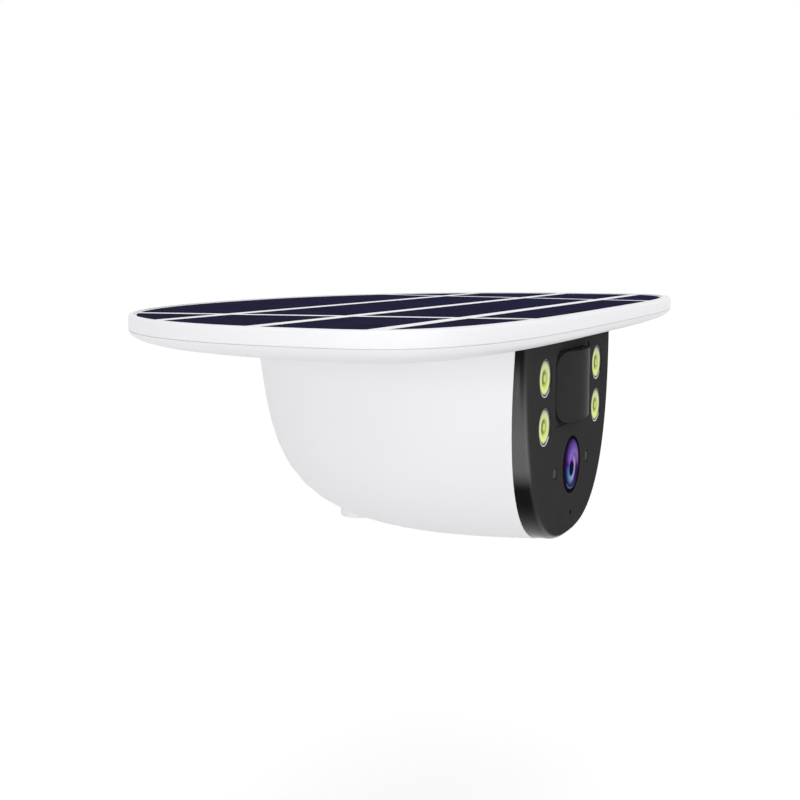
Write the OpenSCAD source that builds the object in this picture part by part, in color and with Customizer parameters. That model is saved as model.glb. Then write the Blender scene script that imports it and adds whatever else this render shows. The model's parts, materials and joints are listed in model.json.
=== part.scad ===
// Solar-powered security camera: a level solar panel over a white bowl with a black face.
// The pieces are drawn from the middle of the lens on the front face, with +Y to the rear,
// and placed() moves them to the frame whose origin is the mouth of the bracket socket.

/* [Bowl] */
// Width of the bowl at its rim
bowl_w = 101; // [98:1:116]
// Height of the bowl at the face
bowl_h = 71.5; // [70:0.5:84]
// Depth of the bowl behind the bezel, at its rim
bowl_d = 120; // [117:0.5:132]
// Height of the bowl's rim above the middle of the lens
bowl_top = 46; // [45.5:0.5:52]
// Wall of the bowl
bowl_wall = 2.5; // [2:0.1:3]
// Squareness of the face's outline
bowl_square = 2.55; // [2.3:0.05:3]
// Squareness of the bowl's side profile
side_square = 4.35; // [3.6:0.05:5]
// Share by which the rear wall leans in towards the bottom
rear_lean = 0.086; // [0.05:0.002:0.12]
// Share by which the belly sags below the face
belly_sag = 0.039; // [0.02:0.001:0.05]

/* [Panel] */
// Width of the panel tray
tray_w = 284.6; // [270:0.2:320]
// Middle line of the tray behind the face
tray_mid = 28.3; // [27:0.1:31]
// Reach of the tray in front of its middle line
tray_front = 45; // [44:0.5:52]
// Reach of the tray behind its middle line
tray_rear = 113; // [111:0.5:125]
// Squareness of the tray's front corners
front_square = 3.6; // [3:0.1:5]
// Squareness of the tray's rear corners
rear_square = 2.28; // [2.1:0.01:2.6]
// Height of the tray's rim
tray_h = 4.8; // [4.4:0.1:7]
// Floor of the tray under the solar board
tray_floor = 1.5; // [1.2:0.1:1.8]
// Rim beside and behind the solar board
border = 1.9; // [1.6:0.1:4]
// Rim in front of the solar board
border_front = 4.4; // [3:0.1:7]
// Thickness of the solar board
solar_t = 2.9; // [2.4:0.1:3.2]
// Thickness of a solar cell
cell_t = 0.4; // [0.2:0.1:0.5]
// White lines between the solar cells
cell_gap = 5; // [2:0.5:6]
// Half distance between the two long lines at the middle line of the tray
column_half = 77.5; // [60:0.5:85]
// Spread of the two long lines towards the rear, per millimetre
column_spread = 0.162; // [0:0.002:0.2]
// Front cross line, in front of the tray's middle line
row_front = 16.6; // [10:0.2:22]
// Middle cross line, behind the tray's middle line
row_middle = 18.7; // [10:0.1:28]
// Rear cross line, behind the tray's middle line
row_rear = 58.2; // [45:0.2:70]

/* [Dish] */
// Depth of the dish under the tray
dish_h = 5.6; // [5:0.1:9]
// Wall of the dish
dish_wall = 2.5; // [2.2:0.1:3]
// How far the dish draws in at the sides
dish_side = 30; // [20:1:40]
// How far the dish draws in at the front
dish_front = 21; // [18:1:24]
// How far the dish draws in at the rear
dish_rear = 14; // [10:1:15]

/* [Face] */
// Thickness of the front bezel at its top
bezel_t = 4; // [4:0.1:5]
// How much thicker the bezel gets towards its bottom, per millimetre
bezel_lean = 0.055; // [0.02:0.005:0.06]
// Front wall of the bezel
bezel_wall = 2.5; // [2:0.1:3]
// Rounding of the bezel's front edge
bezel_round = 3; // [1.5:0.1:3.2]
// Gap between the bezel and the dish above it
bezel_gap = 0.3; // [0.2:0.1:1]
// Outer diameter of the lens ring
ring_d = 20.6; // [20.4:0.1:22]
// Diameter of the lens glass
glass_d = 18.4; // [17:0.1:18.6]
// Diameter of an LED hole
led_d = 13.2; // [12.6:0.1:13.8]
// Distance of the LEDs from the middle line
led_x = 31.3; // [31:0.1:33]
// Height of the lower LEDs above the lens
led_low = 17.8; // [17.5:0.1:19]
// Height of the upper LEDs above the lens
led_high = 34.1; // [33.5:0.1:35]
// Width of the motion sensor window
pir_w = 38; // [34:0.5:38]
// Height of the motion sensor window
pir_h = 24.6; // [20:0.2:25]
// Height of the middle of the motion sensor window above the lens
pir_z = 29.3; // [28.5:0.1:30]
// Radius of the curve of the motion sensor window
pir_r = 42; // [40:0.5:60]
// How far the motion sensor window bulges out of the face
pir_bulge = 4.4; // [3.5:0.1:5]
// Corner radius of the motion sensor window
pir_corner = 6; // [3:0.5:8]
// Distance of the two small windows from the middle line
pipe_x = 19.5; // [19:0.1:21]
// Diameter of the two small windows
pipe_d = 4.2; // [3:0.1:4.6]
// Depth of the microphone hole below the lens
mic_low = 17.5; // [17:0.1:18.5]
// Diameter of the microphone hole
mic_d = 1.2; // [0.8:0.1:2]

/* [Boards] */
// Distance of the camera board behind the face
camera_y = 24; // [22:0.5:25]
// Distance of the LED boards behind the face
led_y = 8; // [7.5:0.1:9]
// Thickness of the boards
board_t = 1.6; // [1:0.1:2]

/* [Battery] */
// Diameter of a battery cell
cell_d = 18.4; // [17:0.1:18.6]
// Length of a battery cell
cell_l = 65.2; // [60:0.1:66]
// Distance of the battery tray behind the face
battery_y = 32; // [31:0.5:34]
// Depth of the battery cells' axes below the bowl's rim
battery_low = 16; // [15:0.5:18]

/* [Bracket socket] */
// Distance of the socket behind the face
socket_y = 86; // [81:0.5:93]
// How far the socket's boss stands below the belly at its axis
socket_drop = 4.2; // [2:0.1:8]
// Diameter of the socket's boss
socket_d = 14; // [12:0.5:20]
// Outer diameter of the brass insert
insert_d = 8; // [7.4:0.1:9]
// Length of the brass insert
insert_l = 10; // [8:0.5:12]
// Bore of the brass insert, the core of a quarter-inch thread
insert_bore = 5.1; // [4:0.1:6]

/* [Port] */
// Distance of the port behind the face
port_y = 29; // [27:0.5:31]
// Length of the port with its hinge
port_l = 26; // [25:0.5:30]
// Width of the port
port_w = 26; // [24:0.5:28]
// Depth of the port
port_deep = 12; // [11.5:0.1:13]
// Thickness of the port door
door_t = 2; // [1.6:0.1:2.2]
// Radius of the door's knuckle
knuckle_r = 1.7; // [1.5:0.1:1.9]
// Diameter of the door pin
door_pin_d = 1.6; // [1.2:0.1:2]
// Diameter of the power button
power_d = 4.5; // [3.5:0.1:5]
// Diameter of the reset button
reset_d = 2.6; // [2:0.1:3]

/* [Fits] */
// Clearance round pieces that are set into others
fit = 0.2; // [0.1:0.05:0.3]
// Running clearance of the door pin and the screws
run = 0.05; // [0.02:0.01:0.1]
// Clearance round pieces that move
move_gap = 0.3; // [0.3:0.05:0.4]

/* [Hidden] */
$fn = 48;
eps = 0.01;
// How far a cut runs past what it cuts
past = 1;

// Levels above the middle of the lens
dish_floor = bowl_top + dish_wall;
tray_z = bowl_top + dish_h;
panel_z = tray_z + tray_floor;
cell_z = panel_z + solar_t - cell_t;
bezel_top = bowl_top - bezel_gap;
bezel_h = bowl_h - bezel_gap;
// The bowl is drawn from a little in front of the seam, which then cuts it
bowl_front = bezel_t - past;
bowl_l = bowl_d + past;

// Outlines seen from above: [half width, reach to the front, reach to the rear]
tray_size = [tray_w / 2, tray_front, tray_rear];
panel_size = tray_size - [border, border_front, border];
dish_in = [dish_side, dish_front, dish_rear];
flat_size = tray_size - dish_in;

// One point of an oval whose front and rear halves have their own reach and squareness
function signed_pow(v, p) = sign(v) * pow(abs(v), p);
function oval_point(size, t) =
    let (c = cos(t), s = sin(t), e = 2 / (s < 0 ? front_square : rear_square))
    [size[0] * signed_pow(c, e), tray_mid + (s < 0 ? size[1] : size[2]) * signed_pow(s, e)];
oval_steps = 120;
function oval(size) = [for (i = [0 : oval_steps - 1]) oval_point(size, 360 * i / oval_steps)];
function at_level(outline, z) = [for (p = outline) [p[0], p[1], z]];

// Lower half of a superellipse, from the left end of its straight edge to the right end
half_steps = 48;
function half_oval(w, d) =
    [for (i = [0 : half_steps]) let (t = 180 - 180 * i / half_steps)
        [w * signed_pow(cos(t), 2 / bowl_square), -d * signed_pow(sin(t), 2 / bowl_square)]];
// The face's outline drawn in by a given amount, in X and Z
function face_outline(in) =
    [for (p = half_oval(bowl_w / 2 - in, bezel_h - in)) [p[0], bezel_top + p[1]]];
// The rim of the bowl seen from above, drawn in by a given amount
function rim_outline(in) =
    [for (p = half_oval(bowl_w / 2 - in, bowl_l - in)) [p[0], bowl_front - p[1]]];

// Side profile of the bowl: [back, down] from the top of the face, at an angle from straight down
function side_point(f, d, h) =
    let (r = pow(pow(sin(f) / d, side_square) + pow(cos(f) / h, side_square), -1 / side_square),
         down = r * cos(f) * (1 + belly_sag * sin(2 * f)))
    [r * sin(f) * (1 - rear_lean * down / h), down];
// Share to which the side profile shrinks at a distance from the middle plane
function shrink(x, w) = pow(1 - pow(abs(x) / w, bowl_square), 1 / bowl_square);
// Distance of the leaning seam between the bezel and the bowl behind the face
function seam_y(z) = bezel_t + bezel_lean * (bowl_top - z);
// Angle of the side profile at a distance behind the bowl's start
function side_angle(back, lo = 0, hi = 90, n = 24) =
    let (mid = (lo + hi) / 2)
    n == 0 ? mid
    : side_point(mid, bowl_l, bowl_h)[0] < back ? side_angle(back, mid, hi, n - 1)
    : side_angle(back, lo, mid, n - 1);
// Height of the belly on the middle plane at a distance behind the face
function belly_z(y) = bowl_top - side_point(side_angle(y - bowl_front), bowl_l, bowl_h)[1];

socket_z = belly_z(socket_y) - socket_drop;

// Half width of the bowl's inside at its rim, and at the face at a given height
function inner_x_at_rim(y) =
    let (w = bowl_w / 2 - bowl_wall, d = bowl_l - bowl_wall)
    w * pow(1 - pow((y - bowl_front) / d, bowl_square), 1 / bowl_square);
function inner_x_at_face(z) =
    let (w = bowl_w / 2 - bowl_wall, h = bowl_h - bowl_wall)
    w * pow(1 - pow((bowl_top - z) / h, bowl_square), 1 / bowl_square);
function inner_z_at_face(x) =
    let (w = bowl_w / 2 - bowl_wall, h = bowl_h - bowl_wall)
    bowl_top - h * shrink(x, w);

// Screws: [shank radius, shank length, head radius, head height]
cover_screw = [1.25, 5, 2.5, 1.2];
body_screw = [1.25, 8, 2.5, 1.6];
bezel_screw = [1.25, 7, 2.4, 1.6];
board_screw = [0.9, 4, 1.8, 1.2];
battery_screw = [1.25, 7, 2.4, 1.6];
head_sink = 0.1;

// Screws that close the tray and the dish, set in from the edge of the dish's flat
cover_screw_in = 8;
cover_boss_r = 3.6;
cover_head_z = bowl_top + cover_screw[3] + head_sink;
cover_size = flat_size - [1, 1, 1] * cover_screw_in;
cover_spots = [for (t = [-35, 12, 40, 62], m = [-1, 1])
               let (p = oval_point(cover_size, t)) [m * p[0], p[1]]];
// Screws that hold the bowl under the dish
rim_boss_r = 3.5;
rim_boss_l = 11;
boss_bite = 0.5;
rim_boss_front = 10;
rim_boss_rear = 20;
rim_spots = [for (y = [bezel_t + rim_boss_front, bezel_t + bowl_d - rim_boss_rear], m = [-1, 1])
             [m * (inner_x_at_rim(y) - rim_boss_r + boss_bite), y]];
// Ears of the bowl that hold the bezel, in X and Z
ear_r = 4;
ear_t = 2.5;
ear_y = 9.5;
ear_side_z = -4;
ear_low_x = 15.5;
ear_spots = [for (m = [-1, 1]) each
             [[m * (inner_x_at_face(ear_side_z) - ear_r + boss_bite), ear_side_z],
              [m * ear_low_x, inner_z_at_face(ear_low_x) + ear_r - boss_bite]]];
ear_boss_r = 2.4;
// Pillars of the camera board and bosses of the LED boards on the bezel, in X and Z
pillar_r = 2;
pillar_in = 4;
pir_flange = 0.8;
pillar_x = pir_w / 2 + pir_flange + fit + pillar_r;
camera_w = 2 * (pillar_x + pillar_in);
camera_h = 56;
camera_mid = 15;
pillar_z = camera_h / 2 - pillar_in;
pillar_spots = [for (x = [-pillar_x, pillar_x], z = [-pillar_z, pillar_z]) [x, camera_mid + z]];
led_boss_r = 2.4;
led_boss_x = 5.1;
led_mid_z = (led_low + led_high) / 2;
led_boss_spots = [for (m = [-1, 1], x = [led_x - led_boss_x, led_x + led_boss_x]) [m * x, led_mid_z]];
led_spots = [for (x = [-led_x, led_x], z = [led_low, led_high]) [x, z]];

// Grooves of the seals
seal_w = 1.3;
seal_t = 0.8;
seal_edge = 0.6;

// Battery
battery_z = bowl_top - battery_low;
battery_pitch = cell_d + 1.2;
battery_wall = 1.7;
battery_half = battery_pitch / 2 + cell_d / 2 + battery_wall;
tab_t = 0.3;
tab_half = 3.5;
battery_end = 2;
battery_l = cell_l + 2 * tab_t + 2 * battery_end;
battery_top = battery_z + 4;
battery_ear_t = 2.5;
battery_post_r = 3.4;
battery_ear_rim = 0.6;
battery_post_x = battery_half + battery_post_r + battery_ear_rim;
battery_post_in = 14;
battery_post_gap = 32;
battery_post_spots = [for (x = [-battery_post_x, battery_post_x], y = [0, battery_post_gap])
                      [x, battery_y + battery_post_in + y]];

// Power board under the dish
power_size = [40, 34];
power_in_y = 21;
power_y = battery_y + power_in_y;
power_drop = 1.8;
power_post_r = 2.2;
power_in = 4;
power_spots = [for (x = [-1, 1], y = [0, 1])
               [x * (power_size[0] / 2 - power_in),
                power_y + (y == 0 ? power_in : power_size[1] - power_in)]];
power_z = bowl_top - power_drop - board_t;
lead_in = 8;
lead_y = power_y + lead_in;
lead_r = 0.9;
lead_apart = 1.4;
lead_hole_r = 3.2;

// Port in the belly
port_end = port_y + port_l;
port_mid = (port_y + port_end) / 2;
belly = belly_z(port_mid);
port_roof = belly + port_deep;
port_wall = 2;
hinge_gap = 0.4;
hinge_y = port_end - knuckle_r - hinge_gap;
knuckle_up = 0.2;
hinge_z = belly + knuckle_r + knuckle_up;
lug_x = 6.3;
lug_w = 2;
slot_half = lug_x + lug_w;
hinge_wall = 2;
pocket_end = hinge_y - hinge_wall;
tongue_l = 3.2;
door_end = hinge_y - tongue_l;
door_half = port_w / 2 - move_gap;
door_start = port_y + move_gap;
door_up = 0.1;
door_low = belly + door_up;
door_top = door_low + door_t;
seal_ledge = 1.8;
ledge_z = door_top + seal_t + move_gap;
inner_half = port_w / 2 - seal_ledge;
inner_start = port_y + seal_ledge;
inner_end = pocket_end - seal_ledge;
port_top = port_roof + port_wall;

// Port board, upright on the roof of the port
board_in = 9;
guide_w = 3;
port_board_y = inner_start + board_in;
port_board_w = port_w + 2 * port_wall - guide_w;
port_board_h = 22;
guide_l = 5;
guide_h = 12;
usb_x = -5.4;
usb_size = [9, 3.2, 7.4];
card_w = 11;
card_l = 15;
card_t = 1;
card_out = 1.6;
card_notch = [1.3, 5];
socket_size = [13.6, 2.2, 13.6];
socket_wall = 0.3;
socket_back = 0.6;
power_x = 3.2;
reset_x = 9;
button_in = 3.6;
button_y = port_board_y - button_in;
button_edge = 0.4;
button_out = 1.4;
button_flange = 0.8;
button_lip = 0.8;
button_travel = 0.6;
lip_z = port_top + move_gap;
switch_z = lip_z + button_lip + button_travel + move_gap;
switch_size = [4, 5.6, 3];

module placed() {
    translate([0, -socket_y, -socket_z]) children();
}

// A plate drawn in X and Z, from one distance behind the face to another
module slab(y1, y2) {
    translate([0, y2, 0]) rotate([90, 0, 0]) linear_extrude(y2 - y1) children();
}

// A round bar along Y
module rod(p, y1, y2, r) {
    translate([p[0], y1, p[1]]) rotate([-90, 0, 0]) cylinder(h = y2 - y1, r = r);
}

// A shape turned about an axis along Y
module turned(p, y) {
    translate([p[0], y, p[1]]) rotate([-90, 0, 0]) rotate_extrude() children();
}

// A block between two corners
module block(low, high) {
    translate(low) cube(high - low);
}

// A rectangle with round corners
module soft_rect(w, h, r) {
    square([w - 2 * r, h], center = true);
    square([w, h - 2 * r], center = true);
    for (x = [-1, 1], y = [-1, 1]) translate([x * (w / 2 - r), y * (h / 2 - r)]) circle(r);
}

// A screw along +Z, with the underside of its head at the origin; the drive takes shares of the head
drive_deep = 0.6;
drive_wide = 0.45;
module screw(s) {
    difference() {
        union() {
            cylinder(h = s[1], r = s[0]);
            translate([0, 0, -s[3]]) cylinder(h = s[3], r = s[2]);
        }
        translate([0, 0, -s[3] - eps]) cylinder(h = s[3] * drive_deep, r = s[2] * drive_wide, $fn = 6);
    }
}
module screw_along_y(s, p, y) {
    translate([p[0], y, p[1]]) rotate([90, 0, 0]) screw(s);
}

// A closed solid through a stack of rings
module loft(rings) {
    n = len(rings[0]);
    m = len(rings);
    polyhedron(
        points = [for (r = rings) each r],
        faces = [
            [for (i = [n - 1 : -1 : 0]) i],
            [for (i = [0 : n - 1]) (m - 1) * n + i],
            for (k = [0 : m - 2], i = [0 : n - 1], half = [0, 1])
                let (a = k * n + i, b = k * n + (i + 1) % n)
                half == 0 ? [a, b, a + n] : [b, b + n, a + n]
        ]);
}

// Points of the bowl's surface for a wall drawn in by a given amount: both tips, then the rows
bowl_rows = 36;
bowl_cols = 22;
function bowl_points(in) =
    let (w = bowl_w / 2 - in, d = bowl_l - in, h = bowl_h - in)
    [[-w, bowl_front, bowl_top], [w, bowl_front, bowl_top],
     for (i = [1 : bowl_rows - 1]) let (x = -w * cos(180 * i / bowl_rows), s = shrink(x, w))
         for (j = [0 : bowl_cols]) let (p = s * side_point(90 * j / bowl_cols, d, h))
             [x, bowl_front + p[0], bowl_top - p[1]]];
function bowl_index(i, j) =
    i == 0 ? 0 : i == bowl_rows ? 1 : 2 + (i - 1) * (bowl_cols + 1) + j;
function flip(f) = [for (i = [len(f) - 1 : -1 : 0]) f[i]];
bowl_skin = [for (i = [0 : bowl_rows - 1], j = [0 : bowl_cols - 1], half = [0, 1])
             if (!(half == 0 && i == 0) && !(half == 1 && i == bowl_rows - 1))
             half == 0 ? [bowl_index(i, j), bowl_index(i + 1, j), bowl_index(i, j + 1)]
                       : [bowl_index(i + 1, j), bowl_index(i + 1, j + 1), bowl_index(i, j + 1)]];
bowl_front_edge = [for (i = [0 : bowl_rows]) bowl_index(i, 0)];
bowl_top_edge = [for (i = [0 : bowl_rows]) bowl_index(i, bowl_cols)];

// The bowl as a full solid
module bowl_solid(in) {
    polyhedron(points = bowl_points(in), faces = [each bowl_skin, flip(bowl_front_edge), bowl_top_edge]);
}

// The dish as one wall, from the tray's edge down to its flat
dish_steps = 6;
function dish_rings(in, drop) =
    [for (k = [0 : dish_steps]) let (t = 90 * k / dish_steps)
        at_level(oval(tray_size - [in, in, in] - dish_in * (1 - cos(t))), tray_z - drop * sin(t))];
module dish_shell() {
    outer = dish_rings(0, dish_h);
    inner = dish_rings(dish_wall, dish_h - dish_wall);
    loft([each flip(inner), each outer]);
}

// A ring of the tray's rounded edge, at an angle from the flat
tray_soft = 0.8;
tray_soft_low = 0.4;
function tray_ring(t, z, soft) = at_level(oval(tray_size - [1, 1, 1] * soft * (1 - sin(t))), z);
// The strip of seal between the tray and the dish
module tray_seal_strip() {
    difference() {
        polygon(oval(tray_size - [1, 1, 1] * (tray_soft + seal_edge)));
        polygon(oval(tray_size - [1, 1, 1] * (tray_soft + seal_edge + seal_w)));
    }
}
module panel_tray() placed() color("whitesmoke") difference() {
    union() {
        loft([for (t = [0 : 30 : 90]) tray_ring(t, tray_z + tray_h - tray_soft * (1 - cos(t)), tray_soft),
              for (t = [90 : -30 : 0]) tray_ring(t, tray_z + tray_soft_low * (1 - cos(t)), tray_soft_low)]);
        for (p = cover_spots)
            translate([p[0], p[1], dish_floor]) cylinder(h = tray_z - dish_floor + eps, r = cover_boss_r);
    }
    translate([0, 0, panel_z]) linear_extrude(tray_h) polygon(oval(panel_size + [fit, fit, fit]));
    translate([0, 0, tray_z - past]) linear_extrude(past + seal_t) tray_seal_strip();
    for (p = cover_spots) translate([p[0], p[1], cover_head_z])
        cylinder(h = cover_screw[1] + fit, r = cover_screw[0] + run);
    translate([0, lead_y, tray_z - past]) cylinder(h = tray_floor + 2 * past, r = lead_hole_r);
}

// Edges of the columns at a distance behind the face
function column_x(y) = column_half + column_spread * (y - tray_mid);
cell_in = 0.6;
rows = [-tray_front, -row_front, row_middle, row_rear, tray_rear];
// The cells' outlines, each grown by a given amount
module cell_shapes(grow) {
    far = tray_rear + tray_front;
    g = cell_gap / 2 - grow;
    for (r = [0 : len(rows) - 2], c = [-1 : 1]) {
        y1 = tray_mid + rows[r] + g;
        y2 = tray_mid + rows[r + 1] - g;
        x1 = column_x(y1);
        x2 = column_x(y2);
        strip = c == 0
            ? [[g - x1, y1], [x1 - g, y1], [x2 - g, y2], [g - x2, y2]]
            : [[c * (x1 + g), y1], [c * far, y1], [c * far, y2], [c * (x2 + g), y2]];
        intersection() {
            polygon(strip);
            polygon(oval(panel_size - [1, 1, 1] * (cell_in - grow)));
        }
    }
}
// The board has a pocket for each cell, so that the cells lie level with the lines between them
module solar_board() placed() color("white") difference() {
    translate([0, 0, panel_z]) linear_extrude(solar_t) polygon(oval(panel_size));
    translate([0, 0, cell_z]) linear_extrude(cell_t + past) cell_shapes(run);
}
module solar_cells() placed() color("midnightblue")
    translate([0, 0, cell_z]) linear_extrude(cell_t) cell_shapes(0);

module tray_seal() placed() color("dimgray")
    translate([0, 0, tray_z]) linear_extrude(seal_t) tray_seal_strip();

// The strip of seal along the bowl's rim, behind the bezel
module rim_seal_strip() {
    difference() {
        polygon(rim_outline(seal_edge));
        polygon(rim_outline(seal_edge + seal_w));
        translate([-bowl_w, 0]) square([2 * bowl_w, bezel_t + seal_edge]);
    }
}
module dish_cover() placed() color("whitesmoke") difference() {
    union() {
        dish_shell();
        for (p = battery_post_spots)
            translate([p[0], p[1], battery_top + battery_ear_t])
                cylinder(h = bowl_top - battery_top - battery_ear_t + past, r = battery_post_r);
        for (p = power_spots)
            translate([p[0], p[1], bowl_top - power_drop])
                cylinder(h = power_drop + past, r = power_post_r);
    }
    translate([0, 0, bowl_top - past]) linear_extrude(past + seal_t) rim_seal_strip();
    for (p = cover_spots) translate([p[0], p[1], cover_head_z]) {
        translate([0, 0, -dish_wall]) cylinder(h = dish_wall, r = cover_screw[2] + fit);
        cylinder(h = dish_wall, r = cover_screw[0] + fit);
    }
    for (p = rim_spots)
        translate([p[0], p[1], bowl_top - past])
            cylinder(h = dish_wall + 2 * past, r = body_screw[0] + fit);
    for (p = battery_post_spots)
        translate([p[0], p[1], battery_top])
            cylinder(h = battery_screw[1] + fit, r = battery_screw[0] + run);
    for (p = power_spots)
        translate([p[0], p[1], power_z]) cylinder(h = board_screw[1] + fit, r = board_screw[0] + run);
    translate([0, lead_y, bowl_top - past]) cylinder(h = dish_wall + 2 * past, r = lead_hole_r);
}

module cover_screws() placed() color("silver")
    for (p = cover_spots)
        translate([p[0], p[1], cover_head_z]) screw(cover_screw);

// What stands inside the bowl: it is left standing when the inside is cut out
module bowl_features() {
    for (p = rim_spots)
        translate([p[0], p[1], bowl_top - rim_boss_l]) cylinder(h = rim_boss_l, r = rim_boss_r);
    for (p = ear_spots) rod(p, ear_y, ear_y + ear_t, ear_r);
}
module socket_boss() {
    translate([0, socket_y, socket_z]) cylinder(h = insert_l + bowl_wall, d = socket_d);
}
module body_shell() placed() color("white") difference() {
    union() {
        bowl_solid(0);
        socket_boss();
    }
    difference() {
        bowl_solid(bowl_wall);
        bowl_features();
        socket_boss();
    }
    tub_block(fit, port_top);
    on_seam() block([-bowl_w, -bowl_w, -bowl_w], [bowl_w, 0, 2 * bowl_w]);
    for (p = rim_spots)
        translate([p[0], p[1], dish_floor - body_screw[1] - fit])
            cylinder(h = body_screw[1] + past, r = body_screw[0] + run);
    for (p = ear_spots) rod(p, ear_y - past, ear_y + ear_t + past, bezel_screw[0] + fit);
    translate([0, socket_y, socket_z - past]) cylinder(h = insert_l + past + fit, d = insert_d + 2 * run);
}

// The port's tub goes into the belly from inside, with its rim level with the belly
tub_flange = 3;
tub_flange_h = 4.5;
module tub_block(out, top) {
    block([-port_w / 2 - port_wall - out, port_y - port_wall - out, belly - past],
          [port_w / 2 + port_wall + out, port_end + port_wall + out, top]);
}
module port_tub() placed() color("white") difference() {
    union() {
        intersection() {
            bowl_solid(0);
            tub_block(0, port_top);
        }
        intersection() {
            bowl_solid(bowl_wall + run);
            tub_block(tub_flange, belly + bowl_wall + tub_flange_h);
        }
        for (m = [-1, 1]) translate([m * port_board_w / 2, port_board_y + board_t / 2, port_top - past])
            translate([-guide_w / 2, -guide_l / 2, 0]) cube([guide_w, guide_l, guide_h + past]);
    }
    // A wide pocket for the door, a deeper one inside it, and the hinge slot
    block([-port_w / 2, port_y, belly - past], [port_w / 2, pocket_end, ledge_z]);
    block([-inner_half, inner_start, belly - past], [inner_half, inner_end, port_roof]);
    block([-lug_x, inner_end - past, belly - past], [lug_x, port_end, hinge_z + knuckle_r + hinge_gap]);
    translate([-slot_half, hinge_y, hinge_z]) rotate([0, 90, 0])
        cylinder(h = 2 * slot_half, d = door_pin_d + 2 * run);
    // Openings in the roof
    block([usb_x - usb_size[0] / 2 - fit, port_board_y - usb_size[1] - fit, port_roof - past],
          [usb_x + usb_size[0] / 2 + fit, port_board_y + fit, port_top + past]);
    block([-card_w / 2 - move_gap, port_board_y + board_t, port_roof - past],
          [card_w / 2 + move_gap, port_board_y + board_t + socket_size[1] + fit, port_top + past]);
    for (b = [[power_x, power_d], [reset_x, reset_d]])
        translate([b[0], button_y, port_roof - past])
            cylinder(h = port_wall + 2 * past, d = b[1] + 2 * move_gap);
    // Slots of the board guides
    block([-port_board_w / 2 - fit, port_board_y - fit, port_top + move_gap - fit],
          [port_board_w / 2 + fit, port_board_y + board_t + fit, port_top + port_board_h]);
}

module body_seal() placed() color("dimgray")
    translate([0, 0, bowl_top]) linear_extrude(seal_t) rim_seal_strip();

module body_screws() placed() color("silver")
    for (p = rim_spots)
        translate([p[0], p[1], dish_floor]) rotate([180, 0, 0]) screw(body_screw);

module mount_insert() placed() color("goldenrod")
    translate([0, socket_y, socket_z]) difference() {
        cylinder(h = insert_l, d = insert_d);
        translate([0, 0, -past]) cylinder(h = insert_l + 2 * past, d = insert_bore);
    }

// The strip of seal behind the bezel's edge
module face_seal_strip() {
    difference() {
        polygon(face_outline(seal_edge));
        polygon(face_outline(seal_edge + seal_w));
        translate([-bowl_w, bezel_top - bezel_wall - past]) square([2 * bowl_w, bowl_w]);
    }
}
// Width of the lens ring's lip on the face, and the frame round the motion sensor window
ring_seat = 0.35;
ring_hole_r = ring_d / 2 - ring_seat;
frame_w = 1.3;
frame_deep = 0.5;
frame_corner = 1.5;
// The window's outline grown by a given amount, cut into the face to a given depth
module pir_cut(out, deep, corner) {
    translate([0, 0, pir_z]) slab(-past, deep) soft_rect(pir_w + 2 * out, pir_h + 2 * out, corner);
}
// A pilot hole along Y for a screw whose head lies at a given distance behind the face
module pilot(p, s, head) {
    rod(p, head - s[1] - fit, head, s[0] + run);
}
// A ring of the bezel's edge at a distance behind the face, drawn in by a given amount
function bezel_ring(in, y) = [for (p = face_outline(in)) [p[0], y, p[1]]];
seam_ring = [for (p = face_outline(0)) [p[0], seam_y(p[1]), p[1]]];
// Pieces drawn on a plane at Y = 0 and laid on the leaning seam
module on_seam() {
    translate([0, bezel_t, bowl_top]) rotate([atan(bezel_lean), 0, 0])
        translate([0, 0, -bowl_top]) children();
}
module front_bezel() placed() color("#2b2b2d") difference() {
    union() {
        difference() {
            loft([for (t = [0 : 15 : 90])
                      bezel_ring(bezel_round * (1 - sin(t)), bezel_round * (1 - cos(t))),
                  seam_ring]);
            slab(bezel_wall, seam_y(bowl_top - bowl_h) + past) intersection() {
                polygon(face_outline(bezel_wall));
                translate([-bowl_w, bezel_top - bezel_wall - bowl_w]) square([2 * bowl_w, bowl_w]);
            }
        }
        for (p = pillar_spots) rod(p, bezel_wall - eps, camera_y, pillar_r);
        for (p = led_boss_spots) rod(p, bezel_wall - eps, led_y, led_boss_r);
        for (p = ear_spots) rod(p, bezel_wall - eps, ear_y, ear_boss_r);
    }
    on_seam() slab(-seal_t, past) face_seal_strip();
    rod([0, 0], -past, bezel_wall + past, ring_hole_r);
    for (p = led_spots) rod(p, -past, bezel_wall + past, led_d / 2);
    pir_cut(frame_w, frame_deep, frame_corner);
    pir_cut(fit, bezel_wall + past, pir_corner + fit);
    for (m = [-1, 1]) rod([m * pipe_x, 0], -past, bezel_wall + past, pipe_d / 2 + fit / 2);
    rod([0, -mic_low], -past, bezel_wall + past, mic_d / 2);
    for (p = pillar_spots) pilot(p, board_screw, camera_y + board_t);
    for (p = led_boss_spots) pilot(p, board_screw, led_y + board_t);
    for (p = ear_spots) pilot(p, bezel_screw, ear_y + ear_t);
}

module bezel_seal() placed() color("dimgray")
    on_seam() slab(-seal_t, 0) face_seal_strip();

module bezel_screws() placed() color("silver")
    for (p = ear_spots) screw_along_y(bezel_screw, p, ear_y + ear_t);

// The trim ring that stands on the face round the lens
ring_lip = 0.2;
ring_edge = 0.1;
ring_slope = 0.3;
ring_tail = 1.5;
glass_r = glass_d / 2;
module lens_ring() placed() color("black") turned([0, 0], 0)
    polygon([[glass_r + run, -eps], [glass_r + ring_slope, -ring_lip], [ring_d / 2 - ring_edge, -ring_lip],
             [ring_d / 2, ring_edge - ring_lip], [ring_d / 2, 0], [ring_hole_r - fit, 0],
             [ring_hole_r - fit, bezel_wall + ring_tail], [glass_r + run, bezel_wall + ring_tail]]);

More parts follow.
